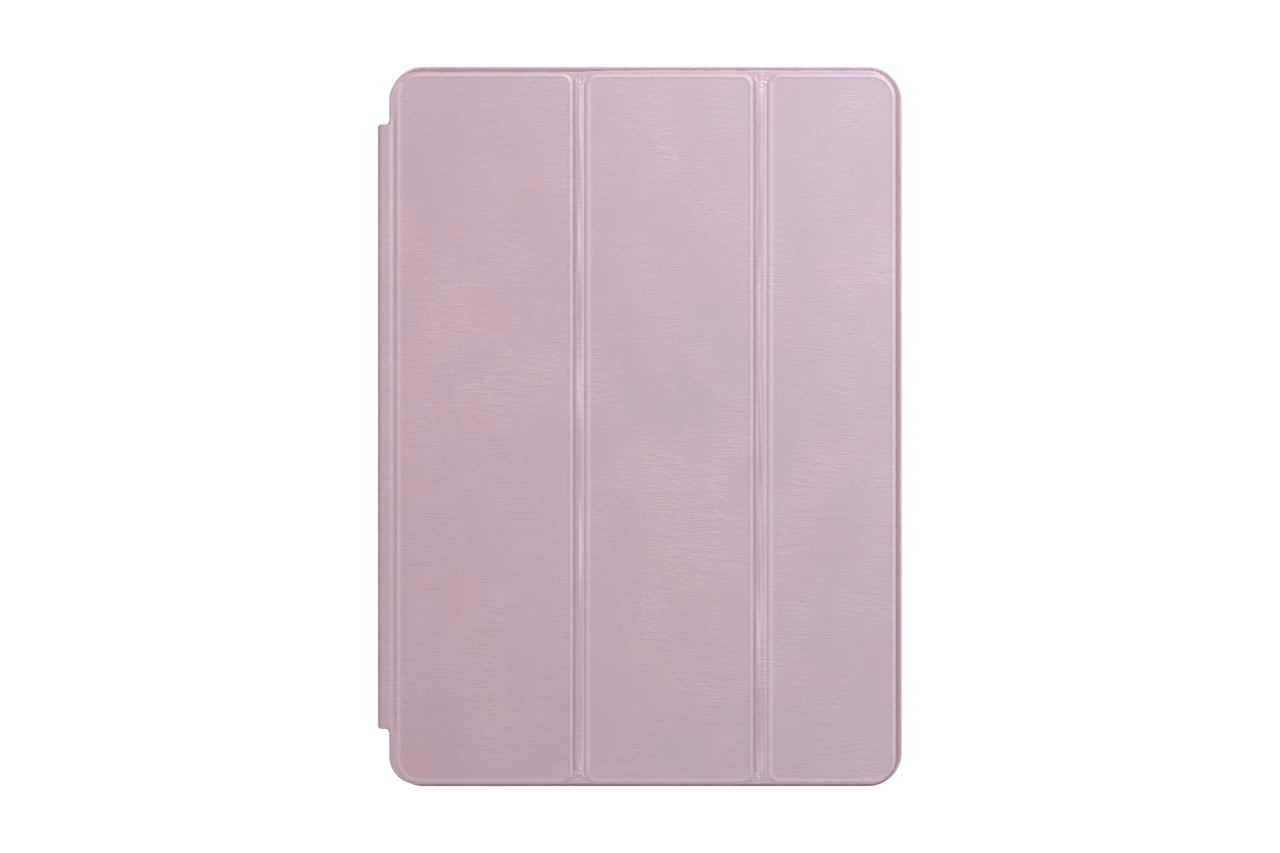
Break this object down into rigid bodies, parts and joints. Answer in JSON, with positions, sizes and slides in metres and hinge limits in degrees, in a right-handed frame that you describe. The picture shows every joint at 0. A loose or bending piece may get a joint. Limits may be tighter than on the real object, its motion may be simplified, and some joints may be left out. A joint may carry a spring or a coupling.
{
  "type": "tablet case",
  "caption": "Folio case for a tablet: a leather-skinned tray with a hinged spine and a folding cover of stiff panels joined by soft creases.",
  "frame": {"origin": "under the middle of the closed case, on the surface that it lies on", "axes": "+X across the case away from the spine, +Y up the case towards the camera end, +Z from the back to the face of the cover"},
  "size_m": [0.1782, 0.2448, 0.0126],
  "materials": {
    "leather": "satin, fine grain",
    "lining": "brushed microfibre",
    "polycarbonate": "fine moulded texture",
    "board": "raw fibre board",
    "steel": "brushed",
    "magnet": "nickel plated"
  },
  "bodies": {
    "shell": {"shell_leather_back": "leather", "shell_leather_band": "leather", "tray_floor": "polycarbonate", "tray_wall_bottom": "polycarbonate", "tray_wall_free": "polycarbonate", "tray_wall_top": "polycarbonate", "tray_wall_spine": "polycarbonate", "tray_corner_1": "polycarbonate", "tray_corner_2": "polycarbonate", "tray_corner_3": "polycarbonate", "tray_corner_4": "polycarbonate", "tray_lining": "lining"},
    "spine": {"spine_leather": "leather", "spine_board": "board", "spine_lining": "lining"},
    "panel_1": {"panel_1_leather": "leather", "panel_1_board": "board", "panel_1_lining": "lining", "stand_steel_strip": "steel"},
    "crease_1": {"crease_1_leather": "leather", "crease_1_lining": "lining"},
    "panel_2": {"panel_2_leather": "leather", "panel_2_board": "board", "panel_2_lining": "lining"},
    "crease_2": {"crease_2_leather": "leather", "crease_2_lining": "lining"},
    "panel_3": {"panel_3_leather": "leather", "panel_3_board": "board", "panel_3_lining": "lining", "wake_magnet": "magnet", "latch_magnet_1": "magnet", "latch_magnet_2": "magnet", "latch_magnet_3": "magnet", "latch_magnet_4": "magnet", "latch_magnet_5": "magnet", "latch_magnet_6": "magnet", "latch_magnet_7": "magnet", "latch_magnet_8": "magnet"}
  },
  "joints": [
    {"name": "back_fold", "type": "hinge", "parent": "shell", "child": "spine", "pos_m": [-0.0896, 0, -0.0005], "axis": [0, -1, 0], "range_deg": [0, 175]},
    {"name": "front_fold", "type": "hinge", "parent": "spine", "child": "panel_1", "pos_m": [-0.0896, 0, 0.0124], "axis": [0, -1, 0], "range_deg": [0, 175]},
    {"name": "crease_1_near_fold", "type": "hinge", "parent": "panel_1", "child": "crease_1", "pos_m": [-0.0226, 0, 0.012], "axis": [0, 1, 0], "range_deg": [-67.8, 0]},
    {"name": "crease_1_far_fold", "type": "hinge", "parent": "crease_1", "child": "panel_2", "pos_m": [-0.019, 0, 0.012], "axis": [0, 1, 0], "range_deg": [-67.8, 0]},
    {"name": "crease_2_near_fold", "type": "hinge", "parent": "panel_2", "child": "crease_2", "pos_m": [0.0387, 0, 0.012], "axis": [0, 1, 0], "range_deg": [-57.5, 0]},
    {"name": "crease_2_far_fold", "type": "hinge", "parent": "crease_2", "child": "panel_3", "pos_m": [0.043, 0, 0.012], "axis": [0, 1, 0], "range_deg": [-57.5, 0]}
  ]
}
